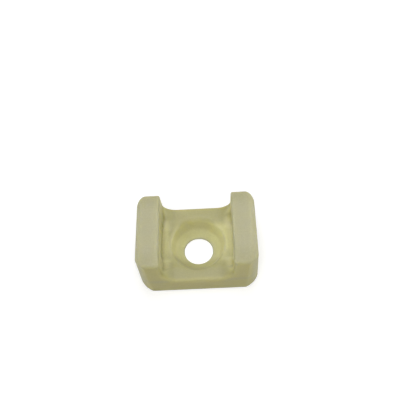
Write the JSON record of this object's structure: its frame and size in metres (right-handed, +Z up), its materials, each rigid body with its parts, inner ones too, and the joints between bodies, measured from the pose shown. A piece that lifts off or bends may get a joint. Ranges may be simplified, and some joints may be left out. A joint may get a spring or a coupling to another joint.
{
  "type": "cable tie mount",
  "caption": "Saddle-shaped moulded mount with a tie slot through each raised ear and a countersunk screw hole in its floor; it straps a cable bundle to a panel.",
  "frame": {"origin": "centre of the flat underside, on the axis of the screw hole", "axes": "+X across the two ears, the way the tie runs; +Y along the cable; +Z up from the panel along the screw hole"},
  "size_m": [0.0158, 0.0112, 0.0073],
  "materials": {
    "natural_nylon": "natural, pale straw yellow and slightly translucent, with a fine spark-eroded satin skin and softly worn edges"
  },
  "bodies": {
    "root": {"saddle_mount": "natural_nylon"}
  },
  "joints": []
}
